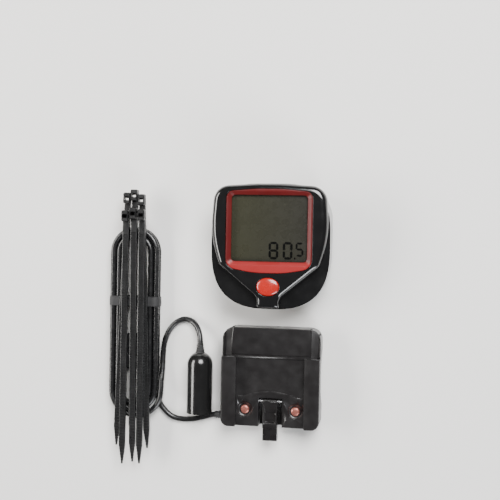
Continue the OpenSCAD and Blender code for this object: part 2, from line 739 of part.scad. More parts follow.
module sensor_housing() {
    color([0.08, 0.08, 0.09]) at_sensor() difference() {
        translate([0, 0, sensor_r]) union() {
            translate([0, 1.5, 0]) rotate([-90, 0, 0]) cylinder(r = sensor_r, h = sensor_l - sensor_r - 1.5);
            translate([0, sensor_l - sensor_r, 0]) sphere(r = sensor_r);
        }
        translate([-sensor_r, 0, -1]) cube([2 * sensor_r, sensor_l + 5, 2.2]);
        translate([0, -1, sensor_r + 0.6]) rotate([-90, 0, 0]) cylinder(r = 2.6, h = sensor_l - 4);
        translate([0, 0, sensor_r]) rotate([-90, 0, 0]) cylinder(r = 1.35, h = sensor_l + 5);
        for (y = [4, sensor_l - 8]) translate([-2 * sensor_r, y, 1.7]) cube([4 * sensor_r, tie_w + 0.5, 1.3]);
    }
}

module sensor_cap() {
    color([0.1, 0.1, 0.11]) at_sensor() intersection() {
        translate([0, 0, sensor_r]) rotate([-90, 0, 0]) {
            cylinder(r = sensor_r, h = 1.5);
            translate([0, -0.6, 0]) cylinder(r = 2.55, h = 4);
        }
        translate([-sensor_r, 0, 1.2]) cube(4 * sensor_r);
    }
}

module reed_switch() {
    color([0.7, 0.8, 0.75]) at_sensor() translate([0, 5, sensor_r + 0.6]) rotate([-90, 0, 0]) {
        translate([0, 0, 1]) cylinder(r = 1.1, h = 10);
        cylinder(r = 0.25, h = 12);
    }
}

module sensor_strain_relief() {
    color([0.1, 0.1, 0.1]) at_sensor() translate([0, sensor_l - 0.6, sensor_r]) rotate([0, 0, -90])
        boot(1.3, 3, 1.9, cable_r + 0.25, 3.8);
}

module sensor_pad() {
    color([0.13, 0.13, 0.13]) at_sensor() difference() {
        translate([-3.2, 1.5, 0]) cube([6.4, sensor_l - sensor_r - 1.5, 1.2]);
        translate([0, 0, -9.6]) rotate([-90, 0, 0]) cylinder(r = 10, h = sensor_l);
    }
}

// ---- fitting kit ----

// One cable tie lying along Y with its head at the upper end
module cable_tie(l) {
    tail = 7;
    translate([-tie_w / 2, tail - l / 2, 0]) cube([tie_w, l - tail - 3, 1.1]);
    translate([0, -l / 2, 0]) linear_extrude(1.1) polygon([
        [-tie_w / 2, tail], [-tie_w / 4, 0.6], [0, 0], [tie_w / 4, 0.6], [tie_w / 2, tail]]);
    translate([-tie_w / 2 - 0.15, l / 2 - 4.4, 0]) difference() {
        cube([tie_w + 0.3, 4.4, 3]);
        translate([0.5, 1.4, -1]) cube([tie_w - 0.7, 1.4, 5]);
    }
}

module cable_ties() {
    pitch = tie_w + 2.1;
    upper = tie_w + 0.9;
    lift = 1.15;
    rows = [
        [-pitch, 0, -2, 0], [0, 1.2, 0, 0], [pitch, -0.6, 2, 0],
        [-upper, -7, -0.2, lift], [0.3, -6, 0.4, lift], [upper, -6.6, 0.1, lift]];
    color([0.07, 0.07, 0.08]) on_bench() for (row = rows)
        translate([tie_x + row[0], tie_y + row[1], tie_h + row[3]]) rotate(row[2]) cable_tie(tie_l);
}

module at_magnet() {
    translate([hank_x, hank_y - 12, bench_z]) children();
}

module magnet_holder() {
    color([0.1, 0.1, 0.1]) at_magnet() difference() {
        linear_extrude(4.2) slab(8.6, 14, 2);
        translate([-1.3, -10, -1]) cube([2.6, 20, 2.6]);
        translate([0, 0, 2.2]) cylinder(r = 2.55, h = 5);
    }
}

module magnet() {
    color([0.7, 0.7, 0.7]) at_magnet() translate([0, 0, 2.2]) cylinder(r = 2.5, h = 1.9);
}

module magnet_clip() {
    color([0.4, 0.4, 0.42]) at_magnet() for (y = [-4.8, 4.8]) translate([0, y, 0]) difference() {
        translate([-1.2, -1, 0]) cube([2.4, 2, 1.4]);
        translate([0, -2, 0.2]) rotate([-90, 0, 0]) cylinder(r = 0.95, h = 4);
    }
}

front_shell();
bezel_frame();
lens();
lcd_glass();
lcd_digits();
lcd_reflector();
zebra_strips();
circuit_board();
board_components();
snap_dome();
key_membrane();
mode_button();
rear_shell();
case_gasket();
case_screws();
battery_cell();
battery_seal();
battery_contacts();
battery_cover();
head_contacts();
bracket_base();
release_latch();
latch_pin();
contact_pin_left();
contact_pin_right();
contact_spring_left();
contact_spring_right();
contact_terminals();
terminal_wires();
terminal_cover();
saddle_pad();
bracket_strain_relief();
bracket_lead();
sensor_lead();
cable_hank();
hank_tie();
sensor_housing();
sensor_cap();
reed_switch();
sensor_strain_relief();
sensor_pad();
cable_ties();
magnet_holder();
magnet();
magnet_clip();
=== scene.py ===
"""Looks of a wired cycling computer laid out flat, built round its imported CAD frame."""

import math

import bmesh
import bpy
from mathutils import Matrix, Vector


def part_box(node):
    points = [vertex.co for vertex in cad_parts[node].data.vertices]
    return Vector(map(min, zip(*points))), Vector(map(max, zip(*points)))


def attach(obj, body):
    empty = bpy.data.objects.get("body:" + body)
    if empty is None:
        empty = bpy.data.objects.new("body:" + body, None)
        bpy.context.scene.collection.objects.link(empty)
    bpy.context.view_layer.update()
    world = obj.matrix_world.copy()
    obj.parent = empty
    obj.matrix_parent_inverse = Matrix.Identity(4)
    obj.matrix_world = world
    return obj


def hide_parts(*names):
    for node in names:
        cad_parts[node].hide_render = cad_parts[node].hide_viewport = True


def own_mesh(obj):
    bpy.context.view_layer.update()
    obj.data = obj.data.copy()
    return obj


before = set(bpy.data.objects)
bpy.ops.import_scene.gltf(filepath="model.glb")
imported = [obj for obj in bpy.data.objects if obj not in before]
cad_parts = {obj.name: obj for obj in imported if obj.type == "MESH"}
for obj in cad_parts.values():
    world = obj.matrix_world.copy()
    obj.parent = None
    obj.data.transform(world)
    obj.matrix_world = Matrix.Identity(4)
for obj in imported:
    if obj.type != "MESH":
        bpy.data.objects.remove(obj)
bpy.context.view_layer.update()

bl_info = {
    "name": "Cycling computer",
    "version": (1, 0, 0),
    "blender": (4, 5, 0),
    "location": "3D Viewport > Sidebar > Cycling computer",
    "description": "Builds the pieces and finishes of a wired cycling computer",
    "category": "Object",
}

MM = 0.001

# ---- places, read from the frame, in millimetres with heights above the bench ----

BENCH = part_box("rear_shell")[0].z / MM


def box_mm(node):
    """Lowest and highest corner of a CAD node in millimetres, with heights above the bench."""
    low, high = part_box(node)
    lift = Vector((0, 0, BENCH))
    return low / MM - lift, high / MM - lift


SHELL_LOW, SHELL_HIGH = box_mm("rear_shell")
FRONT_LOW, FRONT_HIGH = box_mm("front_shell")
BEZEL_LOW, BEZEL_HIGH = box_mm("bezel_frame")
LENS_LOW, LENS_HIGH = box_mm("lens")
LCD_LOW, LCD_HIGH = box_mm("lcd_glass")
BUTTON_LOW, BUTTON_HIGH = box_mm("mode_button")
HANK_LOW, HANK_HIGH = box_mm("cable_hank")
TIES_LOW, TIES_HIGH = box_mm("cable_ties")

HEAD_Y = (SHELL_LOW.y + SHELL_HIGH.y) / 2
HEAD_W = SHELL_HIGH.x - SHELL_LOW.x
HEAD_L = SHELL_HIGH.y - SHELL_LOW.y
TRAY_TOP = FRONT_LOW.z
FRONT_TOP = FRONT_HIGH.z
SKIN_UNDER = LENS_HIGH.z
BUTTON_Y = (BUTTON_LOW.y + BUTTON_HIGH.y) / 2 - HEAD_Y
# Half width of the red frame where it runs down to the button
STEM_HALF = 4.3
WINDOW_Y = (LENS_LOW.y + LENS_HIGH.y) / 2 - HEAD_Y
# How far the lens reaches under the frame on each side, and the frame above and below the window
LENS_LAP = 1
FRAME_ABOVE = 2.4
FRAME_BELOW = 4.3
WINDOW_W = LENS_HIGH.x - LENS_LOW.x - 2 * LENS_LAP
WINDOW_L = LENS_HIGH.y - LENS_LOW.y - 2 * LENS_LAP
FRAME_W = BEZEL_HIGH.x - BEZEL_LOW.x
FRAME_TOP_Y = WINDOW_Y + WINDOW_L / 2 + FRAME_ABOVE
FRAME_LOW_Y = WINDOW_Y - WINDOW_L / 2 - FRAME_BELOW
HANK_X = (HANK_LOW.x + HANK_HIGH.x) / 2
HANK_Y = (HANK_LOW.y + HANK_HIGH.y) / 2


# ---- sizes and colours that a user would change ----

def length_prop(name, description, default):
    return bpy.props.FloatProperty(name=name, description=description, default=default, min=0, unit="LENGTH")


def colour_prop(name, description, default):
    return bpy.props.FloatVectorProperty(
        name=name, description=description, default=default, min=0, max=1, size=3, subtype="COLOR")


class CaseSettings(bpy.types.PropertyGroup):
    """Sizes and colours of the head unit's case"""

    rim_radius: length_prop("Rim radius", "Radius of the rounded rim round the front shell", 2.3 * MM)
    dome_height: length_prop("Button dome", "Height of the button's dome", 0.95 * MM)
    case_colour: colour_prop("Case", "Colour of the glossy case", (0.004, 0.004, 0.0042))
    # The frame colour is the shaded red of the frame's sides; its shelf is painted brighter as painted light.
    frame_colour: colour_prop("Frame", "Colour of the frame round the display", (0.07, 0.005, 0.005))
    button_colour: colour_prop("Button", "Colour of the button", (0.29, 0.011, 0.007))


class DisplaySettings(bpy.types.PropertyGroup):
    """Colours of the display"""

    # The left colour is the lit end and the right colour the shaded end of painted light across the display.
    lit_field_left: colour_prop("Left side", "Colour of the display's left side", (0.027, 0.027, 0.015))
    shaded_field_right: colour_prop("Right side", "Colour of the display's right side", (0.018, 0.0172, 0.0135))
    ink_colour: colour_prop("Digits", "Colour of the lit segments", (0.0008, 0.0009, 0.0009))


class BracketSettings(bpy.types.PropertyGroup):
    """Sizes and colours of the handlebar bracket"""

    edge_radius: length_prop("Edge radius", "Radius of the bracket's edges", 0.25 * MM)
    plastic_colour: colour_prop("Plastic", "Colour of the bracket's plastic", (0.0065, 0.0058, 0.006))
    pin_colour: colour_prop("Pins", "Colour of the contact pins", (0.42, 0.15, 0.12))


class CableSettings(bpy.types.PropertyGroup):
    """Sizes and colour of the cable"""

    diameter: length_prop("Diameter", "Diameter of the cable", 2.2 * MM)
    length: length_prop("Length", "Length of the cable from the bracket to the sensor", 0.71)
    jacket_colour: colour_prop("Jacket", "Colour of the cable's jacket", (0.006, 0.006, 0.0063))


class KitSettings(bpy.types.PropertyGroup):
    """Sizes and colours of the sensor, ties and magnet"""

    tooth_pitch: length_prop("Tooth pitch", "Distance between the teeth of a cable tie", 1.15 * MM)
    tooth_depth: length_prop("Tooth depth", "Depth of the teeth of a cable tie", 0.28 * MM)
    nylon_colour: colour_prop("Nylon", "Colour of the cable ties", (0.007, 0.007, 0.0072))
    rubber_colour: colour_prop("Rubber", "Colour of the rubber parts", (0.012, 0.012, 0.012))


class StageSettings(bpy.types.PropertyGroup):
    """Floor, lights and camera"""

    floor_colour: colour_prop("Floor", "Colour of the floor", (0.78, 0.77, 0.75))
    key_power: bpy.props.FloatProperty(
        name="Key light", description="Power of the main light", default=8.6, min=0, unit="POWER")
    focal_length: bpy.props.FloatProperty(
        name="Focal length", description="Focal length of the camera in millimetres", default=62.6, min=10)


# ---- outlines ----

def corner(a, b, c, r, steps=7):
    """Points of the arc with radius r that rounds corner b between points a and c."""
    a, b, c = Vector(a), Vector(b), Vector(c)
    u, v = (a - b).normalized(), (c - b).normalized()
    half = math.acos(max(-1, min(1, u.dot(v)))) / 2
    centre = b + (u + v).normalized() * (r / math.sin(half))
    start = b + u * (r / math.tan(half)) - centre
    turn = math.copysign(math.pi - 2 * half, u.x * v.y - u.y * v.x)
    points = []
    for i in range(steps + 1):
        t = -turn * i / steps
        points.append((
            centre.x + start.x * math.cos(t) - start.y * math.sin(t),
            centre.y + start.x * math.sin(t) + start.y * math.cos(t)))
    return points


def rounded(corners, steps=7):
    """Closed outline whose corners are each (x, y, radius)."""
    points = []
    for i, (x, y, r) in enumerate(corners):
        before, after = corners[i - 1], corners[(i + 1) % len(corners)]
        points += corner(before[:2], (x, y), after[:2], r, steps)
    return points


def whole(right):
    """Outline's right half, from bottom to top, mirrored into a whole one."""
    return right + [(-x, y, r) for x, y, r in reversed(right)]


def shield(inset=0.0, arms=1.0):
    """Shield outline of the front shell; its arms and stem move in by a share of the inset."""
    low = arms * inset
    half_w, half_l = HEAD_W / 2, HEAD_L / 2
    return rounded(whole([
        (STEM_HALF - low, 0.4 - half_l + low, 1.2 - 0.3 * low),
        (STEM_HALF - low, BUTTON_Y - 4.1 + 0.48 * low, 4),
        (half_w - 3.6 - 0.87 * inset, -7.2 + 0.58 * low, 4),
        (half_w - 0.2 - inset, 4, 40),
        (half_w - 1.5 - inset, half_l - 1.2 - inset, 6 - inset),
        (4, half_l - 0.2 - inset, 60)]))


def frame_outline(grow=0.0):
    """D-shaped outline of the display frame."""
    return rounded(whole([
        (5.5, FRAME_LOW_Y - grow, 40),
        (FRAME_W / 2 + grow, FRAME_LOW_Y + 1.9 - grow, 4.2),
        (FRAME_W / 2 + grow, FRAME_TOP_Y - 1 + grow, 3),
        (5, FRAME_TOP_Y + grow, 50)]))


def rectangle(w, l, r, y=0.0, steps=5):
    """Rounded rectangle round (0, y)."""
    corners = ((1, -1), (1, 1), (-1, 1), (-1, -1))
    return rounded([(sx * w / 2, y + sy * l / 2, r) for sx, sy in corners], steps)


def oval(w, l, y=0.0, steps=72):
    """Ellipse round (0, y)."""
    angles = [math.tau * i / steps for i in range(steps)]
    return [(w / 2 * math.cos(a), y + l / 2 * math.sin(a)) for a in angles]


def by_angle(outline, centre, steps=240):
    """The outline's points on evenly spaced rays from the centre."""
    points = [(x - centre[0], y - centre[1]) for x, y in outline]
    found = []
    for i in range(steps):
        a = math.tau * (i + 0.5) / steps
        dx, dy = math.cos(a), math.sin(a)
        reach = 0.0
        for (x0, y0), (x1, y1) in zip(points, points[1:] + points[:1]):
            side0, side1 = dx * y0 - dy * x0, dx * y1 - dy * x1
            if side0 * side1 <= 0 and side0 != side1:
                t = side0 / (side0 - side1)
                along = dx * (x0 + t * (x1 - x0)) + dy * (y0 + t * (y1 - y0))
                reach = max(reach, along)
        found.append((centre[0] + reach * dx, centre[1] + reach * dy))
    return found


# ---- meshes, built in millimetres with heights above the bench ----

def add_rings(bm, rings, closed=False):
    """Joins equally long rings of points with quads; an open stack gets a face at each end."""
    made = [[bm.verts.new(p) for p in ring] for ring in rings]
    count = len(made[0])
    stops = len(made) if closed else len(made) - 1
    for k in range(stops):
        low, high = made[k], made[(k + 1) % len(made)]
        for i in range(count):
            j = (i + 1) % count
            bm.faces.new((low[i], low[j], high[j], high[i]))
    if not closed:
        bm.faces.new(list(reversed(made[0])))
        bm.faces.new(made[-1])
    return made


def levels(pairs):
    """Rings at given heights, from (outline, height) pairs."""
    return [[(x, y, h) for x, y in outline] for outline, h in pairs]


def add_lathe(bm, profile, origin, axis="Z", steps=40):
    """Turns a profile of (radius, distance along the axis) round that axis."""
    rings = []
    for r, along in profile:
        ring = []
        for i in range(steps):
            a = math.tau * i / steps
            across, up = max(r, 1e-3) * math.cos(a), max(r, 1e-3) * math.sin(a)
            place = {"Z": (across, up, along), "Y": (up, along, across), "-X": (-along, up, across)}[axis]
            ring.append([place[k] + origin[k] for k in range(3)])
        rings.append(ring)
    add_rings(bm, rings)


def make_piece(name, bm, body, material, replaced=(), angle=32, offset=(0, 0), in_metres=False):
    """Turns a mesh, in millimetres unless in_metres, into a smooth shaded piece that rides on a body."""
    bmesh.ops.recalc_face_normals(bm, faces=bm.faces)
    mesh = bpy.data.meshes.new(name)
    bm.to_mesh(mesh)
    bm.free()
    if not in_metres:
        mesh.transform(Matrix.Translation((offset[0] * MM, offset[1] * MM, BENCH * MM)) @ Matrix.Scale(MM, 4))
    mesh.shade_smooth()
    mesh.set_sharp_from_angle(angle=math.radians(angle))
    piece = bpy.data.objects.new(name, mesh)
    bpy.context.scene.collection.objects.link(piece)
    mesh.materials.append(material)
    even = piece.modifiers.new("even_shading", "WEIGHTED_NORMAL")
    even.keep_sharp = True
    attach(piece, body)
    if replaced:
        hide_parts(*replaced)
    return piece


def cut_away(bm, cutters):
    """The mesh with each cutter's solid taken out of it."""
    work = bpy.data.objects.new("blank", bpy.data.meshes.new("blank"))
    bpy.context.scene.collection.objects.link(work)
    bmesh.ops.recalc_face_normals(bm, faces=bm.faces)
    bm.to_mesh(work.data)
    bm.free()
    for cutter in cutters:
        bmesh.ops.recalc_face_normals(cutter, faces=cutter.faces)
        tool = bpy.data.objects.new("tool", bpy.data.meshes.new("tool"))
        bpy.context.scene.collection.objects.link(tool)
        cutter.to_mesh(tool.data)
        cutter.free()
        step = work.modifiers.new("cut", "BOOLEAN")
        step.operation, step.solver, step.object = "DIFFERENCE", "EXACT", tool
        cut = bpy.data.meshes.new_from_object(work.evaluated_get(bpy.context.evaluated_depsgraph_get()))
        work.modifiers.clear()
        work.data = cut
        bpy.data.objects.remove(tool)
    result = bmesh.new()
    result.from_mesh(work.data)
    bpy.data.objects.remove(work)
    return result


def soften(bm, wanted, radius, segments=2):
    """Rounds the edges that wanted(edge) picks."""
    edges = [e for e in bm.edges if e.is_manifold and wanted(e)]
    bmesh.ops.bevel(
        bm, geom=edges, offset=radius, offset_type="OFFSET", segments=segments, profile=0.5,
        affect="EDGES", clamp_overlap=False)
    bmesh.ops.remove_doubles(bm, verts=bm.verts, dist=radius * 0.02)


def softened_node(node, material, body, passes, cutters=()):
    """A copy of a CAD node with its sharp edges rounded; passes are (test on an edge, radius in mm)."""
    bm = bmesh.new()
    bm.from_mesh(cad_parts[node].data)
    bmesh.ops.transform(bm, matrix=Matrix.Scale(1 / MM, 4), verts=bm.verts)
    bmesh.ops.translate(bm, vec=(0, 0, -BENCH), verts=bm.verts)
    bmesh.ops.remove_doubles(bm, verts=bm.verts, dist=1e-3)
    bmesh.ops.dissolve_limit(bm, angle_limit=math.radians(1), verts=bm.verts, edges=bm.edges)
    if cutters:
        bm = cut_away(bm, cutters)
    for test, size in passes:
        soften(bm, lambda e: sharp(e) and test(e), size)
    bmesh.ops.triangulate(bm, faces=[f for f in bm.faces if len(f.verts) > 4])
    return make_piece(node + "_soft", bm, body, material, [node], angle=40)


def sharp(edge, angle=50):
    """True for an edge whose faces meet at more than this angle."""
    return edge.calc_face_angle(0) > math.radians(angle)


def is_outward(edge):
    """True for an edge that stands out of the solid."""
    return edge.calc_face_angle_signed(0) > 0


# ---- finishes ----

class Finish:
    """A node material that is built up step by step on one shader."""

    def __init__(self, name):
        self.material = bpy.data.materials.new(name)
        self.material.use_nodes = True
        self.nodes = self.material.node_tree.nodes
        self.links = self.material.node_tree.links
        self.shader = self.nodes["Principled BSDF"]
        self.place = self.nodes.new("ShaderNodeTexCoord").outputs["Object"]

    def set(self, **values):
        """Sets constants on the shader's own sockets, named with underscores for spaces."""
        for key, value in values.items():
            self.shader.inputs[key.replace("_", " ")].default_value = value
        return self

    def noise(self, size_mm, detail=3.0, stretch=(1, 1, 1)):
        """Noise with features of about this size."""
        mapping = self.nodes.new("ShaderNodeMapping")
        mapping.inputs["Scale"].default_value = stretch
        self.links.new(self.place, mapping.inputs["Vector"])
        texture = self.nodes.new("ShaderNodeTexNoise")
        texture.inputs["Scale"].default_value = 1 / (size_mm * MM)
        texture.inputs["Detail"].default_value = detail
        self.links.new(mapping.outputs["Vector"], texture.inputs["Vector"])
        return texture.outputs["Fac"]

    def axis(self, name, low_mm, high_mm):
        """A value that runs from 0 to 1 between two places along an axis."""
        parts = self.nodes.new("ShaderNodeSeparateXYZ")
        self.links.new(self.place, parts.inputs["Vector"])
        return self.remap(parts.outputs[name], low_mm * MM, high_mm * MM, 0, 1)

    def remap(self, value, from_low, from_high, to_low, to_high):
        """Maps a value from one range to another and clamps it."""
        node = self.nodes.new("ShaderNodeMapRange")
        ends = (("From Min", from_low), ("From Max", from_high), ("To Min", to_low), ("To Max", to_high))
        for key, number in ends:
            node.inputs[key].default_value = number
        self.links.new(value, node.inputs["Value"])
        return node.outputs["Result"]

    def mix(self, factor, first, second):
        """Colour mixed by a factor; each colour is three numbers or an output."""
        node = self.nodes.new("ShaderNodeMix")
        node.data_type = "RGBA"
        self.links.new(factor, node.inputs["Factor"])
        for socket, colour in ((node.inputs["A"], first), (node.inputs["B"], second)):
            if isinstance(colour, bpy.types.NodeSocket):
                self.links.new(colour, socket)
            else:
                socket.default_value = (*colour, 1)
        return node.outputs["Result"]

    def colour(self, output):
        self.links.new(output, self.shader.inputs["Base Color"])
        return self

    def roughness(self, value, low, high):
        """Roughness that follows a noise value between two limits."""
        self.links.new(self.remap(value, 0.3, 0.7, low, high), self.shader.inputs["Roughness"])
        return self

    def bump(self, value, depth_mm, strength=1.0):
        """Fine relief of this depth."""
        node = self.nodes.new("ShaderNodeBump")
        node.inputs["Strength"].default_value = strength
        node.inputs["Distance"].default_value = depth_mm * MM
        self.links.new(value, node.inputs["Height"])
        self.links.new(node.outputs["Normal"], self.shader.inputs["Normal"])
        return self


def shade(colour, factor):
    """A lighter or darker copy of a colour."""
    return tuple(min(1.0, part * factor) for part in colour)


def moulded(
        name, colour, gloss=(0.12, 0.22), grain_mm=0.12, grain_depth=0.004, spread=1.5, coat=0.0, flow_mm=9.0):
    """Moulded plastic with faint flow marks, a spark-eroded grain and uneven gloss."""
    finish = Finish(name)
    finish.colour(finish.mix(finish.noise(flow_mm, 4), colour, shade(colour, spread)))
    finish.roughness(finish.noise(4, 5), *gloss)
    finish.bump(finish.noise(grain_mm, 2), grain_depth)
    return finish.set(Coat_Weight=coat, Coat_Roughness=0.06).material


def metal(name, colour, gloss=(0.2, 0.38), stretch=(1, 1, 1), tarnish=0.75):
    """Metal with fine scratches along one way and a little tarnish."""
    finish = Finish(name)
    finish.colour(finish.mix(finish.noise(1.2, 5), shade(colour, tarnish), colour))
    finish.roughness(finish.noise(0.5, 4, stretch), *gloss)
    finish.bump(finish.noise(0.15, 3, stretch), 0.003)
    return finish.set(Metallic=1.0).material


def rubbery(name, colour):
    """Matt rubber with a fine grain."""
    finish = Finish(name)
    finish.colour(finish.mix(finish.noise(2.5, 5), colour, shade(colour, 1.8)))
    finish.roughness(finish.noise(0.8, 4), 0.5, 0.75)
    finish.bump(finish.noise(0.09, 2), 0.012)
    return finish.set(Sheen_Weight=0.04).material


def display_field(name, settings):
    """Glass of the display with painted light: lighter and greener at its left, with painted shade at its right and
    along its lower edge.
    """
    finish = Finish(name)
    # Painted light and shade: the glass runs from a lit left side to a shaded right side.
    across = finish.axis("X", LCD_LOW.x, LCD_HIGH.x)
    painted_light_field = finish.mix(across, tuple(settings.lit_field_left), tuple(settings.shaded_field_right))
    haze = finish.remap(finish.noise(16, 2), 0.3, 0.9, 0, 0.25)
    cloudy = finish.mix(haze, painted_light_field, shade(settings.shaded_field_right, 1.2))
    # Painted shade darkens the glass along its lower edge.
    painted_shade_edge = finish.axis("Y", LCD_LOW.y + 2.2, LCD_LOW.y)
    finish.colour(finish.mix(painted_shade_edge, cloudy, shade(settings.shaded_field_right, 0.6)))
    finish.roughness(finish.noise(3, 3), 0.24, 0.32)
    finish.bump(finish.noise(0.2, 2), 0.001)
    return finish.set(Specular_IOR_Level=0.3).material


# How much of the light the acrylic window stops
WINDOW_HAZE = 0.05


def clear_window(name):
    """Clear acrylic window with a trace of haze."""
    finish = Finish(name)
    finish.colour(finish.mix(finish.noise(12, 3), (0.02, 0.02, 0.018), (0.035, 0.035, 0.033)))
    finish.roughness(finish.noise(6, 4), 0.06, 0.12)
    finish.bump(finish.noise(3, 2), 0.001)
    return finish.set(Alpha=WINDOW_HAZE).material


def board_finish(name):
    """Green solder mask over copper tracks."""
    finish = Finish(name)
    bricks = finish.nodes.new("ShaderNodeTexBrick")
    bricks.inputs["Scale"].default_value = 260
    bricks.inputs["Mortar Size"].default_value = 0.03
    finish.links.new(finish.place, bricks.inputs["Vector"])
    tracks = finish.remap(bricks.outputs["Fac"], 0, 1, 0, 1)
    finish.colour(finish.mix(tracks, (0.012, 0.1, 0.045), (0.03, 0.2, 0.08)))
    finish.roughness(finish.noise(1, 4), 0.3, 0.45)
    finish.bump(tracks, 0.03)
    return finish.set(Coat_Weight=0.4, Coat_Roughness=0.15).material


def striped_rubber(name):
    """Layered contact rubber with conducting stripes."""
    finish = Finish(name)
    wave = finish.nodes.new("ShaderNodeTexWave")
    wave.inputs["Scale"].default_value = 900
    finish.links.new(finish.place, wave.inputs["Vector"])
    finish.colour(finish.mix(wave.outputs["Fac"], (0.02, 0.02, 0.022), (0.3, 0.3, 0.32)))
    finish.roughness(finish.noise(0.6, 3), 0.45, 0.65)
    finish.bump(wave.outputs["Fac"], 0.01)
    return finish.material


def glass_tube(name):
    """Greenish glass of the reed switch."""
    finish = Finish(name)
    finish.colour(finish.mix(finish.noise(2, 3), (0.55, 0.72, 0.62), (0.7, 0.85, 0.78)))
    finish.roughness(finish.noise(1, 3), 0.04, 0.1)
    finish.bump(finish.noise(1.5, 2), 0.004)
    return finish.set(Transmission_Weight=0.7, IOR=1.5).material


def nylon(name, colour):
    """Semi-gloss nylon with drawn marks along it."""
    finish = Finish(name)
    finish.colour(finish.mix(finish.noise(3, 4, (1, 0.2, 1)), colour, shade(colour, 1.9)))
    finish.roughness(finish.noise(1.5, 4, (1, 0.25, 1)), 0.24, 0.42)
    finish.bump(finish.noise(0.25, 3, (1, 0.3, 1)), 0.006)
    return finish.set(Specular_IOR_Level=0.55).material


def jacket(name, colour):
    """Glossy cable jacket with slight drawn marks and dust."""
    finish = Finish(name)
    finish.colour(finish.mix(finish.noise(5, 4), colour, shade(colour, 1.8)))
    finish.roughness(finish.noise(2.2, 4), 0.2, 0.36)
    finish.bump(finish.noise(0.35, 3), 0.006)
    return finish.material


def repaint(node, material):
    """Gives a CAD node that stays in view its finish."""
    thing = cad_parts[node]
    thing.data.materials.clear()
    thing.data.materials.append(material)


# ---- stage ----

CAMERA_PLACE = (0.0485, 0.0566, 0.3439)
CAMERA_LOOK = (-0.1721, -0.0233, -0.9848)
CAMERA_UP = (-0.0223, 0.9996, -0.0198)
FLOOR_SIZE = 1.6


def look_matrix(place, look, up):
    """Placing matrix for something that looks along look with up upwards."""
    back = -Vector(look).normalized()
    right = Vector(up).cross(back).normalized()
    matrix = Matrix((right, back.cross(right), back)).transposed().to_4x4()
    matrix.translation = Vector(place)
    return matrix


def add_light(name, place, target, size, power, tint=(1, 1, 1)):
    """A soft rectangular light aimed at a place."""
    light = bpy.data.lights.new(name, "AREA")
    light.shape, light.size, light.size_y = "RECTANGLE", size[0], size[1]
    light.energy, light.color = power, tint
    thing = bpy.data.objects.new(name, light)
    bpy.context.scene.collection.objects.link(thing)
    look = Vector(target) - Vector(place)
    thing.matrix_world = look_matrix(place, look, (0.02, 1, 0.03))


def build_stage(settings):
    scene = bpy.context.scene
    camera = bpy.data.cameras.new("camera")
    camera.sensor_width, camera.lens = 36, settings.focal_length
    camera.clip_start, camera.clip_end = 0.01, 10
    eye = bpy.data.objects.new("camera", camera)
    scene.collection.objects.link(eye)
    eye.matrix_world = look_matrix(CAMERA_PLACE, CAMERA_LOOK, CAMERA_UP)
    scene.camera = eye

    bm = bmesh.new()
    bmesh.ops.create_grid(bm, x_segments=24, y_segments=24, size=FLOOR_SIZE)
    mesh = bpy.data.meshes.new("floor")
    bm.to_mesh(mesh)
    bm.free()
    floor = bpy.data.objects.new("floor", mesh)
    floor.location.z = BENCH * MM
    scene.collection.objects.link(floor)
    finish = Finish("floor_card")
    colour = tuple(settings.floor_colour)
    finish.colour(finish.mix(finish.noise(60, 4), colour, shade(colour, 0.97)))
    finish.roughness(finish.noise(3, 4), 0.7, 0.85)
    finish.bump(finish.noise(0.6, 4), 0.01)
    mesh.materials.append(finish.material)

    target = (-0.02, 0.02, 0.01)
    add_light("key_light", (0.16, 0.36, 0.52), target, (0.34, 0.34), settings.key_power)
    add_light("left_light", (-0.5, 0.1, 0.34), target, (0.2, 0.5), settings.key_power * 0.6, (1, 0.98, 0.95))
    add_light("low_light", (0.3, -0.42, 0.3), target, (0.5, 0.16), settings.key_power * 0.45, (0.95, 0.97, 1))
    world = bpy.data.worlds.new("studio")
    world.use_nodes = True
    world.node_tree.nodes["Background"].inputs["Color"].default_value = (0.95, 0.94, 0.93, 1)
    world.node_tree.nodes["Background"].inputs["Strength"].default_value = 0.12
    scene.world = world


# ---- cable ----

OUTER_R = 8.9
INNER_R = 6.5
LAYERS = (1.7, 4.1)
STRAIGHT = 55.0
# Way of the cable from inside the bracket's boot to the hank
BRACKET_ROUTE = [
    (-19.6, -16.6, 1.9), (-21.3, -16.6, 1.9), (-23, -16.6, 1.9), (-25.5, -17.3, 1.5), (-29, -18.4, 1.2),
    (-33, -19.2, 1.2), (-37, -19.3, 1.2), (-40.6, -18.4, 1.2), (-43.6, -16, 1.3), (-45.8, -12.6, 1.5)]
# Way of the cable from the hank to inside the sensor's boot
SENSOR_ROUTE = [
    (-44.7, -4, 3.2), (-44.6, 0, 2.2), (-44.6, 4, 1.5), (-44.5, 8, 1.2), (-43.9, 12, 1.2), (-42.2, 16, 1.2),
    (-39.4, 19.2, 1.2), (-36, 20.6, 1.3), (-32.6, 19.8, 2), (-30.2, 17.4, 3.2), (-29, 14.6, 4.4),
    (-28.6, 11.6, 5), (-28.6, 9.6, 5)]


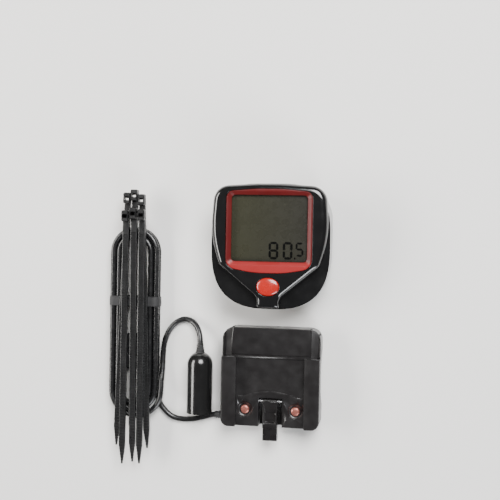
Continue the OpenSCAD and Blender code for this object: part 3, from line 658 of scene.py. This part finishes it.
def hank_turns():
    """Points of the four turns of the hank, which trade places as they pass its lower end."""
    mid_r, mid_h = (OUTER_R + INNER_R) / 2, sum(LAYERS) / 2
    reach = math.hypot(OUTER_R - mid_r, LAYERS[1] - mid_h)
    low_y, high_y = HANK_Y - STRAIGHT / 2, HANK_Y + STRAIGHT / 2
    points = []
    for turn in range(4):
        start = math.radians(-45 - 90 * turn)
        r, h = mid_r + reach * math.cos(start), mid_h + reach * math.sin(start)
        first_y = low_y + 3 if turn == 0 else low_y + 2
        points += [(HANK_X + r, first_y + (high_y - first_y) * k / 12, h) for k in range(12)]
        points += [
            (HANK_X + r * math.cos(math.pi * k / 14), high_y + r * math.sin(math.pi * k / 14), h)
            for k in range(14)]
        points += [(HANK_X - r, high_y + (low_y - high_y) * k / 12, h) for k in range(12)]
        for k in range(14):
            t = k / 14
            a = math.pi * (1 + t)
            if turn < 3:
                spin = start - math.pi / 2 * t
                r, h = mid_r + reach * math.cos(spin), mid_h + reach * math.sin(spin)
            else:
                r = OUTER_R + 2.5 * t * t * (3 - 2 * t)
                h = LAYERS[1] + 0.1 * math.sin(math.pi * t)
            points.append((HANK_X + r * math.cos(a), low_y + r * math.sin(a), h))
    return points + [(HANK_X + OUTER_R + 2.4, low_y, 3.9)]


def smooth_way(points, step):
    """Points about a step apart on a smooth curve through the given points."""
    way = []
    guarded = [points[0]] + points + [points[-1]]
    for a, b, c, d in zip(guarded, guarded[1:], guarded[2:], guarded[3:]):
        a, b, c, d = map(Vector, (a, b, c, d))
        parts = max(1, round((c - b).length / step))
        for i in range(parts):
            t = i / parts
            way.append(0.5 * (2 * b + (c - a) * t + (2 * a - 5 * b + 4 * c - d) * t * t
                              + (3 * b - 3 * c + d - a) * t ** 3))
    return way + [Vector(points[-1])]


def build_cable(settings):
    way = smooth_way(BRACKET_ROUTE + hank_turns() + SENSOR_ROUTE, 1.0)
    curve = bpy.data.curves.new("cable_run", "CURVE")
    curve.dimensions = "3D"
    curve.bevel_depth = settings.diameter / 2
    curve.bevel_resolution = 5
    curve.use_fill_caps = True
    spline = curve.splines.new("POLY")
    spline.points.add(len(way) - 1)
    for point, place in zip(spline.points, way):
        point.co = (place.x * MM, place.y * MM, (place.z + BENCH) * MM, 1)
    spline.use_smooth = True
    curve.materials.append(jacket("cable_jacket", tuple(settings.jacket_colour)))
    cable = bpy.data.objects.new("cable_run", curve)
    bpy.context.scene.collection.objects.link(cable)
    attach(cable, "bracket")
    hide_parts("bracket_lead", "sensor_lead", "cable_hank")
    band = build_hank_band()


def build_hank_band():
    """Flat band that holds the hank together, with a raised rib along its middle."""
    low, high = box_mm("hank_tie")
    width, height = high.x - low.x, high.z - low.z
    bm = bmesh.new()

    def section(inset, y):
        outline = rounded([
            (sx * (width / 2 - inset), height / 2 + sz * (height / 2 - inset), 2.4 - inset)
            for sx, sz in ((1, -1), (1, 1), (-1, 1), (-1, -1))], 6)
        return [(x + (low.x + high.x) / 2, y, z) for x, z in outline]

    length = high.y - low.y
    steps = [(0.35, 0), (0.05, 0.25), (0.05, 1.2), (0, 1.4), (0, length - 1.4), (0.05, length - 1.2),
             (0.05, length - 0.25), (0.35, length), (0.48, length), (0.48, 0)]
    add_rings(bm, [section(inset, low.y + y) for inset, y in steps], closed=True)
    material = rubbery("hank_band", (0.008, 0.008, 0.0085))
    return make_piece("hank_band", bm, "bracket", material, ["hank_tie"])


# ---- head unit ----

# How far the rim reaches in along the arms beside the button, as a share of its reach elsewhere
ARM_SHARE = 0.7
# Wall of the case front at the seam and under its top, and its gap round the red frame
FRONT_WALL = 1.6
FRONT_WALL_TOP = 2.2
FRAME_FIT = 0.05


def build_front_shell(settings):
    rim = settings.rim_radius / MM
    steps = 9
    stack = [(shield(0.12), TRAY_TOP), (shield(0), TRAY_TOP + 0.15), (shield(0), FRONT_TOP - rim)]
    for k in range(1, steps + 1):
        a = math.pi / 2 * k / steps
        stack.append((shield(rim * (1 - math.cos(a)), ARM_SHARE), FRONT_TOP - rim * (1 - math.sin(a))))
    bm = bmesh.new()
    add_rings(bm, levels(stack))
    hollow = bmesh.new()
    add_rings(hollow, levels([
        (shield(FRONT_WALL), TRAY_TOP - 1), (shield(FRONT_WALL), SKIN_UNDER - 1),
        (shield(FRONT_WALL_TOP), SKIN_UNDER)]))
    aperture = bmesh.new()
    add_rings(aperture, levels([
        (frame_outline(FRAME_FIT), SKIN_UNDER - 0.85), (frame_outline(FRAME_FIT), FRONT_TOP + 2)]))
    button_hole = bmesh.new()
    hole = oval(BUTTON_HIGH.x - BUTTON_LOW.x + 0.2, button_length() + 0.2, BUTTON_Y)
    add_rings(button_hole, levels([(hole, SKIN_UNDER - 1), (hole, FRONT_TOP + 2)]))
    bm = cut_away(bm, [hollow, aperture, button_hole])
    top = FRONT_TOP - 0.02
    soften(bm, lambda e: sharp(e) and all(v.co.z > top for v in e.verts), 0.14, 3)
    material = moulded("case_gloss_black", tuple(settings.case_colour), (0.1, 0.2), coat=0.35)
    make_piece(
        "front_shell_gloss", bm, "head", material, ["front_shell"], 34, (0, HEAD_Y))


def button_length():
    """Length of the oval button without its retaining bar."""
    return BUTTON_HIGH.y - BUTTON_LOW.y - 1.6


def build_display_frame(settings):
    centre = (0, WINDOW_Y)

    def window(extra, r=1.4):
        return by_angle(rectangle(WINDOW_W + extra, WINDOW_L + extra, r, WINDOW_Y), centre)

    def outline(grow):
        return by_angle(frame_outline(grow), centre)

    top = BEZEL_HIGH.z
    low = BEZEL_LOW.z
    stack = [
        (outline(0), low), (outline(0), top - 0.3), (outline(-0.06), top - 0.12), (outline(-0.2), top - 0.03),
        (outline(-0.4), top), (window(2.9, 1.8), top), (window(2.6, 1.7), top - 0.04),
        (window(2.35, 1.6), top - 0.16),
        (window(0.35), SKIN_UNDER + 0.42), (window(0.1), SKIN_UNDER + 0.26), (window(0), SKIN_UNDER + 0.1),
        (window(0), SKIN_UNDER + 0.02), (window(2.1, 1.6), SKIN_UNDER + 0.02), (window(2.1, 1.6), low)]
    bm = bmesh.new()
    add_rings(bm, levels(stack), closed=True)
    colour = tuple(settings.frame_colour)
    finish = Finish("frame_red")
    # Painted light: the shelf below the window gets a lit copy of the red, 3.1 times brighter; the frame colour
    # itself is the shaded red of the sides, and the noise only mottles it.
    painted_light_shelf = finish.axis("Y", HEAD_Y + FRAME_LOW_Y + 4.6, HEAD_Y + FRAME_LOW_Y + 3.8)
    shaded = finish.mix(finish.noise(12, 3), colour, shade(colour, 1.2))
    finish.colour(finish.mix(painted_light_shelf, shaded, shade(colour, 3.1)))
    finish.roughness(finish.noise(4, 3), 0.34, 0.44)
    finish.bump(finish.noise(0.15, 2), 0.003)
    finish.set(Coat_Weight=0.08, Coat_Roughness=0.2, Specular_IOR_Level=0.22)
    make_piece(
        "display_frame_red", bm, "head", finish.material, ["bezel_frame"], 40, (0, HEAD_Y))


def build_button(settings):
    w, l = BUTTON_HIGH.x - BUTTON_LOW.x, button_length()
    crown = BUTTON_HIGH.z
    dome = settings.dome_height / MM
    base = crown - 1.5
    stack = [(oval(w - 0.5, l - 0.5), base - 0.2), (oval(w, l), base), (oval(w, l), crown - dome)]
    steps = 12
    for k in range(1, steps):
        a = math.pi / 2 * k / steps
        scale = math.cos(a) ** 0.8
        stack.append((oval(w * scale, l * scale), crown - dome * (1 - math.sin(a))))
    stack.append((oval(w * 0.04, l * 0.04), crown))
    bm = bmesh.new()
    add_rings(bm, [[(x, y + BUTTON_Y, h) for x, y in outline] for outline, h in stack])
    foot = rectangle(w - 1.6, l - 1.4, 2.4, BUTTON_Y)
    add_rings(bm, levels([(foot, base - 2), (foot, base - 0.1)]))
    keeper = rectangle(3.4, l + 1.6, 0.6, BUTTON_Y)
    add_rings(bm, levels([(keeper, base - 1.4), (keeper, base - 0.6)]))
    add_lathe(bm, [(1.2, BUTTON_LOW.z), (1.5, BUTTON_LOW.z + 0.3), (1.5, base - 1.9)], (0, BUTTON_Y, 0))
    finish = Finish("button_red")
    colour = tuple(settings.button_colour)
    finish.colour(finish.mix(finish.noise(3, 4), colour, shade(colour, 1.3)))
    finish.roughness(finish.noise(2, 4), 0.2, 0.32)
    finish.bump(finish.noise(0.2, 3), 0.003)
    finish.set(Coat_Weight=0.5, Coat_Roughness=0.08, Subsurface_Weight=0.05)
    make_piece(
        "mode_button_red", bm, "button", finish.material, ["mode_button"], 50, (0, HEAD_Y))


def build_rear_shell(settings):
    repaint("rear_shell", moulded("tray_gloss_black", tuple(settings.case_colour), (0.14, 0.26), coat=0.25))


def build_display(settings):
    repaint("lens", clear_window("window_acrylic"))
    repaint("lcd_glass", display_field("display_glass", settings))
    ink = Finish("segment_ink")
    colour = tuple(settings.ink_colour)
    ink.colour(ink.mix(ink.noise(1.5, 3), colour, shade(colour, 1.6)))
    ink.roughness(ink.noise(1, 3), 0.6, 0.75)
    ink.bump(ink.noise(0.2, 2), 0.002)
    repaint("lcd_digits", ink.set(Specular_IOR_Level=0.0).material)
    repaint("lcd_reflector", metal("reflector_foil", (0.7, 0.72, 0.68), (0.3, 0.5), (1, 6, 1), 0.85))


def build_inner_parts(kit):
    repaint("zebra_strips", striped_rubber("contact_rubber"))
    repaint("circuit_board", board_finish("solder_mask"))
    repaint("board_components", moulded("component_epoxy", (0.02, 0.02, 0.022), (0.35, 0.55), 0.1, 0.01))
    repaint("snap_dome", metal("dome_steel", (0.62, 0.62, 0.6)))
    repaint("key_membrane", rubbery("membrane_rubber", (0.04, 0.04, 0.045)))
    gasket = rubbery("gasket_rubber", tuple(kit.rubber_colour))
    repaint("case_gasket", gasket)
    repaint("battery_seal", gasket)
    repaint("case_screws", metal("screw_steel", (0.6, 0.6, 0.61)))
    repaint("battery_cell", metal("cell_steel", (0.66, 0.66, 0.67), (0.18, 0.3), (8, 1, 1)))
    repaint("battery_contacts", metal("contact_brass", (0.72, 0.53, 0.24)))
    repaint("head_contacts", metal("stud_copper", (0.7, 0.4, 0.26)))
    repaint("battery_cover", moulded("cover_black", (0.014, 0.014, 0.015), (0.3, 0.45), 0.2, 0.01))


# ---- bracket ----

def build_bracket(settings):
    radius = settings.edge_radius / MM
    material = moulded(
        "bracket_black", tuple(settings.plastic_colour), (0.28, 0.4), 0.16, 0.004, 1.4, coat=0.1, flow_mm=16)
    low, high = box_mm("bracket_base")

    def upper_rim(edge):
        if any(v.co.z < 8 for v in edge.verts) or not is_outward(edge):
            return False
        return all(
            min(v.co.x - low.x, high.x - v.co.x, v.co.y - low.y, high.y - v.co.y) < 1.6 for v in edge.verts)

    softened_node("bracket_base", material, "bracket", [(upper_rim, radius)])
    repaint("saddle_pad", rubbery("saddle_rubber", (0.02, 0.02, 0.02)))
    repaint("terminal_cover", moulded("cover_plate_black", (0.016, 0.016, 0.017), (0.35, 0.5), 0.2, 0.01))


def build_latch(settings):
    material = moulded(
        "tongue_black", shade(settings.plastic_colour, 0.8), (0.22, 0.34), 0.16, 0.003, coat=0.15)
    low, high = box_mm("release_latch")
    half = (high.x - low.x) / 2 - 0.8
    recess = bmesh.new()
    outline = rectangle(2 * half, 4.2, 0.4, low.y + 9.2)
    add_rings(recess, levels([(outline, high.z - 1.35), (outline, high.z + 1)]))
    softened_node(
        "release_latch", material, "latch",
        [(lambda e: is_outward(e) and e.calc_length() > 0.9, 0.15)], cutters=[recess])
    repaint("latch_pin", metal("pin_steel", (0.62, 0.62, 0.63), stretch=(1, 8, 8)))


def build_spring(node, material):
    """Copy of the coil under a contact pin, with a mesh of its own."""
    bm = bmesh.new()
    bm.from_mesh(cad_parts[node].data)
    coil = make_piece(node + "_coil", bm, "bracket", material, [node], in_metres=True)
    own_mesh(coil)


def build_pins(settings):
    colour = tuple(settings.pin_colour)
    finish = Finish("pin_copper")
    finish.colour(finish.mix(finish.noise(0.8, 5), shade(colour, 0.7), shade(colour, 1.15)))
    finish.roughness(finish.noise(0.4, 4), 0.28, 0.45)
    finish.bump(finish.noise(0.12, 3), 0.004)
    finish.set(Metallic=0.75)
    steel = metal("spring_steel", (0.68, 0.68, 0.7))
    for side in ("left", "right"):
        low, high = box_mm("contact_pin_" + side)
        r = (high.x - low.x) / 2 - 0.65
        top = high.z
        flange = top - 2.5
        profile = [
            (0.6, low.z), (0.8, low.z + 0.2), (0.8, flange), (r + 0.65, flange), (r + 0.65, flange + 0.65),
            (r, flange + 0.65), (r, top - 0.6), (r - 0.05, top - 0.42), (r - 0.2, top - 0.22),
            (r - 0.5, top - 0.09), (r - 0.95, top - 0.02), (0, top)]
        bm = bmesh.new()
        add_lathe(bm, profile, ((low.x + high.x) / 2, (low.y + high.y) / 2, 0))
        make_piece(
            "contact_pin_domed_" + side, bm, "pin_" + side, finish.material,
            ["contact_pin_" + side])
        build_spring("contact_spring_" + side, steel)
    repaint("contact_terminals", metal("terminal_brass", (0.74, 0.55, 0.26)))
    repaint("terminal_wires", moulded("wire_red", (0.35, 0.015, 0.015), (0.3, 0.45), 0.3, 0.004))


def boot_profile(neck_r, neck_l, root_r, tip_r, length):
    """Radius along a ribbed boot that tapers to its tip."""
    profile = [(neck_r, -neck_l), (neck_r, 0), (root_r - 0.1, 0.02), (root_r, 0.15)]
    ribs = 4
    for k in range(ribs):
        for share, dip in ((0.18, 0), (0.5, 0), (0.62, 0.28), (0.86, 0.28)):
            t = (k + share) / ribs
            profile.append((root_r + (tip_r - root_r) * t - dip, 0.15 + (length - 0.3) * t))
    return profile + [(tip_r, length - 0.12), (tip_r - 0.12, length)]


def build_boots(kit):
    material = rubbery("boot_rubber", tuple(kit.rubber_colour))
    for node, axis, root_r in (("bracket_strain_relief", "-X", 1.85), ("sensor_strain_relief", "Y", 1.9)):
        low, high = box_mm(node)
        middle = (low + high) / 2
        if axis == "-X":
            neck, length = 3.2, high.x - low.x - 3.2
            origin = (high.x - neck, middle.y, middle.z)
        else:
            neck, length = 3, high.y - low.y - 3
            origin = (middle.x, low.y + neck, middle.z)
        bm = bmesh.new()
        add_lathe(bm, boot_profile(1.3, neck, root_r, 1.35, length), origin, axis)
        make_piece(node + "_ribbed", bm, "bracket", material, [node], 50)


# ---- wheel sensor, ties and magnet ----

def build_sensor(kit):
    gloss = moulded("sensor_black", (0.005, 0.005, 0.005), (0.14, 0.26), 0.2, 0.003, coat=0.3)
    for node in ("sensor_housing", "sensor_cap"):
        softened_node(
            node, gloss, "bracket",
            [(lambda e: is_outward(e) and e.calc_length() > 2.2, 0.25)])
    repaint("sensor_pad", rubbery("sensor_pad_rubber", tuple(kit.rubber_colour)))
    repaint("reed_switch", glass_tube("reed_glass"))


def tie_section(half, thick, groove, tooth_top):
    """Cross-section of a tie's strap, with a toothed band along its upper face."""
    return [
        (-half + 0.12, 0), (half - 0.12, 0), (half, 0.12), (half, thick - 0.16), (half - 0.05, thick - 0.05),
        (half - 0.16, thick), (groove, thick), (groove - 0.06, tooth_top), (-groove + 0.06, tooth_top),
        (-groove, thick), (-half + 0.16, thick), (-half + 0.05, thick - 0.05), (-half, thick - 0.16), (-half, 0.12)]


def build_tie(name, spot, turn, length, width, settings, material):
    """One cable tie: head with a slot and pawl, toothed strap and tapered tail."""
    thick, tail, head = 1.1, 7.0, 4.4
    pitch, depth = settings.tooth_pitch / MM, settings.tooth_depth / MM
    low_y, high_y = -length / 2, length / 2
    rings = []
    y = low_y
    strap_end = high_y - head + 0.6
    while y < strap_end:
        share = min(1.0, (y - low_y) / tail)
        half = width / 2 * (0.3 + 0.7 * share)
        body = thick * (0.6 + 0.4 * share)
        groove = half * 0.72
        near_head = y > strap_end - 6
        for along, dip in ((0.0, depth), (pitch * 0.75, 0.03), (pitch * 0.98, depth)):
            dip = 0.0 if near_head else dip
            ring = tie_section(half, body, groove, body - dip)
            rings.append([(x, min(y + along, strap_end), z) for x, z in ring])
        y += pitch
    bm = bmesh.new()
    add_rings(bm, rings)
    half_w, tall = width / 2 + 0.15, 3.0
    centre = (0, high_y - head / 2)
    slot_y = high_y - head + 2.1

    def block(grow):
        return by_angle(rectangle(2 * half_w + 2 * grow, head + 2 * grow, 0.6 + grow, high_y - head / 2), centre, 72)

    def hole(grow):
        return by_angle(rectangle(width - 0.7 + 2 * grow, 1.4 + 2 * grow, 0.15, slot_y), centre, 72)

    add_rings(bm, levels([
        (block(-0.15), 0), (block(0), 0.2), (block(0), tall - 0.5), (block(-0.08), tall - 0.2), (block(-0.3), tall),
        (hole(0.15), tall), (hole(0), tall - 0.2), (hole(0), 0.3), (hole(0.15), 0)]), closed=True)
    pawl = [[(sx * (width / 2 - 0.5), slot_y + y, z) for sx, y, z in (
        (-1, 0.72, 0.6), (1, 0.72, 0.6), (1, 0.1, 1.5), (1, 0.72, 2.4), (-1, 0.72, 2.4), (-1, 0.1, 1.5))]]
    verts = [bm.verts.new(p) for p in pawl[0]]
    back = [bm.verts.new((v.co.x, v.co.y + 0.6, v.co.z)) for v in verts]
    for a, b, c, d in ((0, 1, 2, 5), (5, 2, 3, 4)):
        bm.faces.new((verts[a], verts[b], verts[c], verts[d]))
        bm.faces.new((back[d], back[c], back[b], back[a]))
    for i in range(6):
        j = (i + 1) % 6
        bm.faces.new((verts[j], verts[i], back[i], back[j]))
    place = Matrix.Translation(spot) @ Matrix.Rotation(math.radians(turn), 4, "Z")
    bmesh.ops.transform(bm, matrix=place, verts=bm.verts)
    make_piece(name, bm, "bracket", material, ["cable_ties"], 35)


def build_ties(settings):
    width = 2.5
    length = 100.4
    pitch = width + 2.1
    material = nylon("tie_nylon", tuple(settings.nylon_colour))
    x, y, h = -55.6, 20.2, HANK_HIGH.z + 0.6
    upper = width + 0.9
    lift = 1.15
    rows = (
        (-pitch, 0, -2, 0), (0, 1.2, 0, 0), (pitch, -0.6, 2, 0),
        (-upper, -7, -0.2, lift), (0.3, -6, 0.4, lift), (upper, -6.6, 0.1, lift))
    for number, (dx, dy, turn, lift) in enumerate(rows, 1):
        build_tie("cable_tie_%d" % number, (x + dx, y + dy, h + lift), turn, length, width, settings, material)


def build_magnet():
    plastic = moulded("holder_black", (0.012, 0.012, 0.013), (0.25, 0.4), 0.2, 0.008)
    softened_node(
        "magnet_holder", plastic, "bracket",
        [(lambda e: is_outward(e) and e.calc_length() > 0.3 and all(v.co.z > 4 for v in e.verts), 0.3)])
    repaint("magnet", metal("magnet_nickel", (0.58, 0.58, 0.6), (0.15, 0.3)))
    repaint("magnet_clip", metal("clip_steel", (0.45, 0.45, 0.47)))


# ---- operators and panel ----

class BuildOperator(bpy.types.Operator):
    """Builds one group of pieces"""

    bl_options = {"REGISTER"}


class COMPUTER_OT_stage(BuildOperator):
    """Makes the floor, the lights and the camera"""

    bl_idname = "computer.stage"
    bl_label = "Stage"

    def execute(self, context):
        build_stage(context.scene.computer_stage)
        return {"FINISHED"}


class COMPUTER_OT_cable(BuildOperator):
    """Lays the cable with its hank and the band round it"""

    bl_idname = "computer.cable"
    bl_label = "Cable and hank"

    def execute(self, context):
        build_cable(context.scene.computer_cable)
        return {"FINISHED"}


class COMPUTER_OT_front_shell(BuildOperator):
    """Builds the glossy front shell"""

    bl_idname = "computer.front_shell"
    bl_label = "Front shell"

    def execute(self, context):
        build_front_shell(context.scene.computer_case)
        return {"FINISHED"}


class COMPUTER_OT_display_frame(BuildOperator):
    """Builds the red frame round the display"""

    bl_idname = "computer.display_frame"
    bl_label = "Display frame"

    def execute(self, context):
        build_display_frame(context.scene.computer_case)
        return {"FINISHED"}


class COMPUTER_OT_button(BuildOperator):
    """Builds the domed button"""

    bl_idname = "computer.button"
    bl_label = "Button"

    def execute(self, context):
        build_button(context.scene.computer_case)
        return {"FINISHED"}


class COMPUTER_OT_rear_shell(BuildOperator):
    """Finishes the rear shell"""

    bl_idname = "computer.rear_shell"
    bl_label = "Rear shell"

    def execute(self, context):
        build_rear_shell(context.scene.computer_case)
        return {"FINISHED"}


class COMPUTER_OT_display(BuildOperator):
    """Finishes the window, the display and its digits"""

    bl_idname = "computer.display"
    bl_label = "Display"

    def execute(self, context):
        build_display(context.scene.computer_display)
        return {"FINISHED"}


class COMPUTER_OT_inner_parts(BuildOperator):
    """Finishes the board, the battery and the other parts inside the head"""

    bl_idname = "computer.inner_parts"
    bl_label = "Inner parts"

    def execute(self, context):
        build_inner_parts(context.scene.computer_kit)
        return {"FINISHED"}


class COMPUTER_OT_bracket(BuildOperator):
    """Rounds and finishes the handlebar bracket"""

    bl_idname = "computer.bracket"
    bl_label = "Bracket"

    def execute(self, context):
        build_bracket(context.scene.computer_bracket)
        return {"FINISHED"}


class COMPUTER_OT_latch(BuildOperator):
    """Rounds and finishes the release tongue and its pin"""

    bl_idname = "computer.latch"
    bl_label = "Release tongue"

    def execute(self, context):
        build_latch(context.scene.computer_bracket)
        return {"FINISHED"}


class COMPUTER_OT_pins(BuildOperator):
    """Builds the domed contact pins and finishes their springs and wires"""

    bl_idname = "computer.pins"
    bl_label = "Contact pins"

    def execute(self, context):
        build_pins(context.scene.computer_bracket)
        return {"FINISHED"}


class COMPUTER_OT_boots(BuildOperator):
    """Builds the ribbed boots at both ends of the cable"""

    bl_idname = "computer.boots"
    bl_label = "Cable boots"

    def execute(self, context):
        build_boots(context.scene.computer_kit)
        return {"FINISHED"}


class COMPUTER_OT_sensor(BuildOperator):
    """Rounds and finishes the wheel sensor"""

    bl_idname = "computer.sensor"
    bl_label = "Wheel sensor"

    def execute(self, context):
        build_sensor(context.scene.computer_kit)
        return {"FINISHED"}


class COMPUTER_OT_ties(BuildOperator):
    """Builds the six cable ties"""

    bl_idname = "computer.ties"
    bl_label = "Cable ties"

    def execute(self, context):
        build_ties(context.scene.computer_kit)
        return {"FINISHED"}


class COMPUTER_OT_magnet(BuildOperator):
    """Rounds and finishes the spoke magnet"""

    bl_idname = "computer.magnet"
    bl_label = "Spoke magnet"

    def execute(self, context):
        build_magnet()
        return {"FINISHED"}


SETTINGS = {
    "computer_stage": StageSettings,
    "computer_cable": CableSettings,
    "computer_case": CaseSettings,
    "computer_display": DisplaySettings,
    "computer_bracket": BracketSettings,
    "computer_kit": KitSettings,
}

OPERATORS = (
    COMPUTER_OT_stage, COMPUTER_OT_cable, COMPUTER_OT_front_shell, COMPUTER_OT_display_frame, COMPUTER_OT_button,
    COMPUTER_OT_rear_shell, COMPUTER_OT_display, COMPUTER_OT_inner_parts, COMPUTER_OT_bracket, COMPUTER_OT_latch,
    COMPUTER_OT_pins, COMPUTER_OT_boots, COMPUTER_OT_sensor, COMPUTER_OT_ties, COMPUTER_OT_magnet)


class COMPUTER_PT_panel(bpy.types.Panel):
    """Lists the build steps and their settings"""

    bl_idname = "COMPUTER_PT_panel"
    bl_label = "Cycling computer"
    bl_space_type = "VIEW_3D"
    bl_region_type = "UI"
    bl_category = "Cycling computer"

    def draw(self, context):
        for operator in OPERATORS:
            self.layout.operator(operator.bl_idname)
        for key, group in SETTINGS.items():
            box = self.layout.box()
            for prop in group.__annotations__:
                box.prop(getattr(context.scene, key), prop)


def register():
    for group in SETTINGS.values():
        bpy.utils.register_class(group)
    for key, group in SETTINGS.items():
        setattr(bpy.types.Scene, key, bpy.props.PointerProperty(type=group))
    for operator in OPERATORS:
        bpy.utils.register_class(operator)
    bpy.utils.register_class(COMPUTER_PT_panel)


def unregister():
    bpy.utils.unregister_class(COMPUTER_PT_panel)
    for operator in reversed(OPERATORS):
        bpy.utils.unregister_class(operator)
    for key, group in SETTINGS.items():
        delattr(bpy.types.Scene, key)
        bpy.utils.unregister_class(group)


def main():
    register()
    for operator in OPERATORS:
        family, step = operator.bl_idname.split(".")
        getattr(getattr(bpy.ops, family), step)()


if __name__ == "__main__":
    main()
